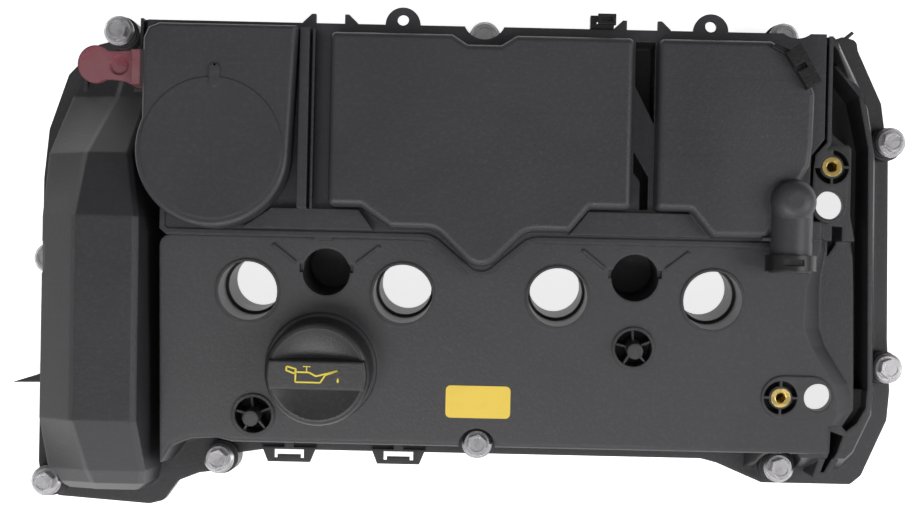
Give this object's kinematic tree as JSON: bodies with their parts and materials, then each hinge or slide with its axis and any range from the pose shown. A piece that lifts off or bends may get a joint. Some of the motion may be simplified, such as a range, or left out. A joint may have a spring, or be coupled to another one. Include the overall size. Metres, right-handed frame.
{
  "type": "engine valve cover",
  "caption": "Black plastic valve cover for an inline engine, with plug tubes, oil separator lid, pressure regulator, bayonet filler cap, captive bolts, breather outlet and red shipping plug.",
  "frame": {"origin": "middle of the footprint, on the lower face of the gasket", "axes": "+X along the tube row from the chain-end hump to the sensor end, +Y towards the separator lid, +Z away from the cylinder head"},
  "size_m": [0.506, 0.2808, 0.093],
  "materials": {
    "shell_plastic": "satin",
    "lid_plastic": "satin",
    "cap_plastic": "satin",
    "rubber": "matte",
    "zinc": "satin",
    "steel": "satin",
    "brass": "polished",
    "red_plastic": "gloss"
  },
  "bodies": {
    "cover": {"cover_shell": "shell_plastic", "separator_lid": "lid_plastic", "regulator_cap": "lid_plastic", "regulator_diaphragm": "rubber", "regulator_spring": "steel", "oil_baffle": "shell_plastic", "cover_gasket": "rubber", "plug_tube_seals": "rubber", "cover_bolts": "zinc", "bolt_sleeves": "steel", "bolt_grommets": "rubber", "rear_sensor_insert": "brass", "front_sensor_insert": "brass", "cable_clip": "lid_plastic", "outlet_collar": "lid_plastic", "loom_clip": "lid_plastic"},
    "filler_cap": {"oil_filler_cap": "cap_plastic", "filler_cap_seal": "rubber"},
    "plug": {"shipping_plug": "red_plastic"},
    "regulator": {"regulator_plate": "shell_plastic"}
  },
  "joints": [
    {"name": "filler_cap_turn", "type": "hinge", "parent": "cover", "child": "filler_cap", "pos_m": [-0.07145, -0.05962, 0.06289], "axis": [0, -0.1219, 0.9925], "range_deg": [0, 90]},
    {"name": "plug_pull", "type": "slide", "parent": "cover", "child": "plug", "axis": [-1, 0, 0], "range_m": [0, 0.03]},
    {"name": "regulator_stroke", "type": "slide", "parent": "cover", "child": "regulator", "axis": [0, 0, -1], "range_m": [0, 0.003], "stiffness_N_per_m": 500, "springref_m": -0.004, "deforming": ["regulator_spring", "regulator_diaphragm"]}
  ]
}
